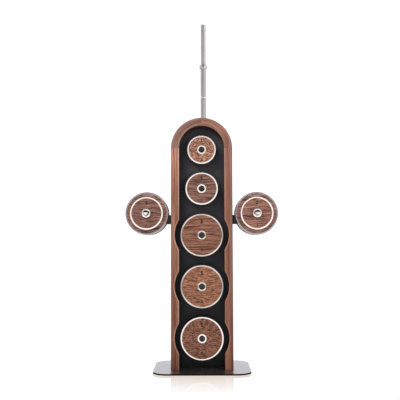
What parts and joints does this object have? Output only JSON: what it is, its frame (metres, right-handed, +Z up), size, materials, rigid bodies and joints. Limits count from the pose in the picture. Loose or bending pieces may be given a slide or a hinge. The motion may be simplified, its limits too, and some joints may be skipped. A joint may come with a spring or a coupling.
{
  "type": "weight plate storage tower",
  "caption": "Arched wooden home-gym tower with pegs of wood-faced steel weight plates, a loaded dumbbell on a bracket at each side and an upright barbell behind.",
  "frame": {"origin": "on the floor, under the centre of the base plate", "axes": "+Z up, the front with the plates faces -Y, +X to the right seen from the front"},
  "size_m": [0.792, 0.39, 1.87],
  "materials": {
    "walnut_frame": "oiled walnut, satin",
    "walnut_inlay": "oiled walnut, satin, straight grain",
    "beech_dowel": "plain, hidden in the joints",
    "black_panel": "matt black lacquer on plywood",
    "black_steel": "matt black powder coat",
    "polished_steel": "polished stainless steel",
    "chrome_nut": "bright chrome",
    "zinc_fasteners": "zinc plated",
    "black_rubber": "matt"
  },
  "bodies": {
    "tower": {"base_plate": "black_steel", "base_feet": "black_rubber", "base_bolts": "zinc_fasteners", "left_post": "walnut_frame", "right_post": "walnut_frame", "left_arch": "walnut_frame", "right_arch": "walnut_frame", "frame_dowels": "beech_dowel", "back_panel": "black_panel", "plate_pegs": "black_steel", "peg_washers": "zinc_fasteners", "peg_nuts": "zinc_fasteners", "left_bracket": "black_steel", "right_bracket": "black_steel", "bracket_liners": "black_rubber", "bracket_screws": "zinc_fasteners", "bar_socket": "black_steel", "bar_guide": "black_steel", "bar_rest_rubbers": "black_rubber", "bar_holder_screws": "zinc_fasteners"},
    "small_inner": {"small_plate_inner": "polished_steel", "small_inlays_inner": "walnut_inlay"},
    "small_outer": {"small_plate_outer": "polished_steel", "small_inlays_outer": "walnut_inlay"},
    "medium_inner": {"medium_plate_inner": "polished_steel", "medium_inlays_inner": "walnut_inlay"},
    "medium_outer": {"medium_plate_outer": "polished_steel", "medium_inlays_outer": "walnut_inlay"},
    "upper_large_inner": {"upper_large_plate_inner": "polished_steel", "upper_large_inlays_inner": "walnut_inlay"},
    "upper_large_outer": {"upper_large_plate_outer": "polished_steel", "upper_large_inlays_outer": "walnut_inlay"},
    "middle_large_inner": {"middle_large_plate_inner": "polished_steel", "middle_large_inlays_inner": "walnut_inlay"},
    "middle_large_outer": {"middle_large_plate_outer": "polished_steel", "middle_large_inlays_outer": "walnut_inlay"},
    "lower_large_inner": {"lower_large_plate_inner": "polished_steel", "lower_large_inlays_inner": "walnut_inlay"},
    "lower_large_outer": {"lower_large_plate_outer": "polished_steel", "lower_large_inlays_outer": "walnut_inlay"},
    "barbell": {"barbell_bar": "polished_steel", "barbell_collars": "polished_steel", "barbell_end_caps": "polished_steel"},
    "left_dumbbell": {"left_dumbbell_bar": "polished_steel", "left_dumbbell_large_plates": "polished_steel", "left_dumbbell_small_plates": "polished_steel", "left_dumbbell_inlays": "walnut_inlay"},
    "left_dumbbell_front_rubber": {"left_dumbbell_front_rubber": "black_rubber"},
    "left_dumbbell_front_nut": {"left_dumbbell_front_nut": "chrome_nut"},
    "left_dumbbell_rear_rubber": {"left_dumbbell_rear_rubber": "black_rubber"},
    "left_dumbbell_rear_nut": {"left_dumbbell_rear_nut": "chrome_nut"},
    "right_dumbbell": {"right_dumbbell_bar": "polished_steel", "right_dumbbell_large_plates": "polished_steel", "right_dumbbell_small_plates": "polished_steel", "right_dumbbell_inlays": "walnut_inlay"},
    "right_dumbbell_front_rubber": {"right_dumbbell_front_rubber": "black_rubber"},
    "right_dumbbell_front_nut": {"right_dumbbell_front_nut": "chrome_nut"},
    "right_dumbbell_rear_rubber": {"right_dumbbell_rear_rubber": "black_rubber"},
    "right_dumbbell_rear_nut": {"right_dumbbell_rear_nut": "chrome_nut"}
  },
  "joints": [
    {"name": "small_inner_slide", "type": "slide", "parent": "tower", "child": "small_inner", "axis": [0, -1, 0], "range_m": [0, 0.06]},
    {"name": "small_outer_slide", "type": "slide", "parent": "small_inner", "child": "small_outer", "axis": [0, -1, 0], "range_m": [0, 0.035]},
    {"name": "medium_inner_slide", "type": "slide", "parent": "tower", "child": "medium_inner", "axis": [0, -1, 0], "range_m": [0, 0.06]},
    {"name": "medium_outer_slide", "type": "slide", "parent": "medium_inner", "child": "medium_outer", "axis": [0, -1, 0], "range_m": [0, 0.035]},
    {"name": "upper_large_inner_slide", "type": "slide", "parent": "tower", "child": "upper_large_inner", "axis": [0, -1, 0], "range_m": [0, 0.06]},
    {"name": "upper_large_outer_slide", "type": "slide", "parent": "upper_large_inner", "child": "upper_large_outer", "axis": [0, -1, 0], "range_m": [0, 0.035]},
    {"name": "middle_large_inner_slide", "type": "slide", "parent": "tower", "child": "middle_large_inner", "axis": [0, -1, 0], "range_m": [0, 0.06]},
    {"name": "middle_large_outer_slide", "type": "slide", "parent": "middle_large_inner", "child": "middle_large_outer", "axis": [0, -1, 0], "range_m": [0, 0.035]},
    {"name": "lower_large_inner_slide", "type": "slide", "parent": "tower", "child": "lower_large_inner", "axis": [0, -1, 0], "range_m": [0, 0.06]},
    {"name": "lower_large_outer_slide", "type": "slide", "parent": "lower_large_inner", "child": "lower_large_outer", "axis": [0, -1, 0], "range_m": [0, 0.035]},
    {"name": "barbell_lift", "type": "slide", "parent": "tower", "child": "barbell", "axis": [0, 0, 1], "range_m": [0, 0.075]},
    {"name": "left_dumbbell_lift", "type": "slide", "parent": "tower", "child": "left_dumbbell", "axis": [0, 0, 1], "range_m": [0, 0.06]},
    {"name": "left_dumbbell_front_rubber_travel", "type": "slide", "parent": "left_dumbbell", "child": "left_dumbbell_front_rubber", "axis": [0, -1, 0], "range_m": [0, 0.0605]},
    {"name": "left_dumbbell_front_nut_spin", "type": "hinge", "parent": "left_dumbbell_front_rubber", "child": "left_dumbbell_front_nut", "pos_m": [-0.285, -0.1144, 0.808], "axis": [0, -1, 0], "range_deg": [0, 4320]},
    {"name": "left_dumbbell_rear_rubber_travel", "type": "slide", "parent": "left_dumbbell", "child": "left_dumbbell_rear_rubber", "axis": [0, 1, 0], "range_m": [0, 0.0605]},
    {"name": "left_dumbbell_rear_nut_spin", "type": "hinge", "parent": "left_dumbbell_rear_rubber", "child": "left_dumbbell_rear_nut", "pos_m": [-0.285, 0.1144, 0.808], "axis": [0, 1, 0], "range_deg": [0, 4320]},
    {"name": "right_dumbbell_lift", "type": "slide", "parent": "tower", "child": "right_dumbbell", "axis": [0, 0, 1], "range_m": [0, 0.06]},
    {"name": "right_dumbbell_front_rubber_travel", "type": "slide", "parent": "right_dumbbell", "child": "right_dumbbell_front_rubber", "axis": [0, -1, 0], "range_m": [0, 0.0605]},
    {"name": "right_dumbbell_front_nut_spin", "type": "hinge", "parent": "right_dumbbell_front_rubber", "child": "right_dumbbell_front_nut", "pos_m": [0.285, -0.1144, 0.808], "axis": [0, -1, 0], "range_deg": [0, 4320]},
    {"name": "right_dumbbell_rear_rubber_travel", "type": "slide", "parent": "right_dumbbell", "child": "right_dumbbell_rear_rubber", "axis": [0, 1, 0], "range_m": [0, 0.0605]},
    {"name": "right_dumbbell_rear_nut_spin", "type": "hinge", "parent": "right_dumbbell_rear_rubber", "child": "right_dumbbell_rear_nut", "pos_m": [0.285, 0.1144, 0.808], "axis": [0, 1, 0], "range_deg": [0, 4320]}
  ],
  "couplings": [
    {"joint": "left_dumbbell_front_rubber_travel", "follows": "left_dumbbell_front_nut_spin", "m_per_rad": 0.00079577},
    {"joint": "left_dumbbell_rear_rubber_travel", "follows": "left_dumbbell_rear_nut_spin", "m_per_rad": 0.00079577},
    {"joint": "right_dumbbell_front_rubber_travel", "follows": "right_dumbbell_front_nut_spin", "m_per_rad": 0.00079577},
    {"joint": "right_dumbbell_rear_rubber_travel", "follows": "right_dumbbell_rear_nut_spin", "m_per_rad": 0.00079577}
  ]
}
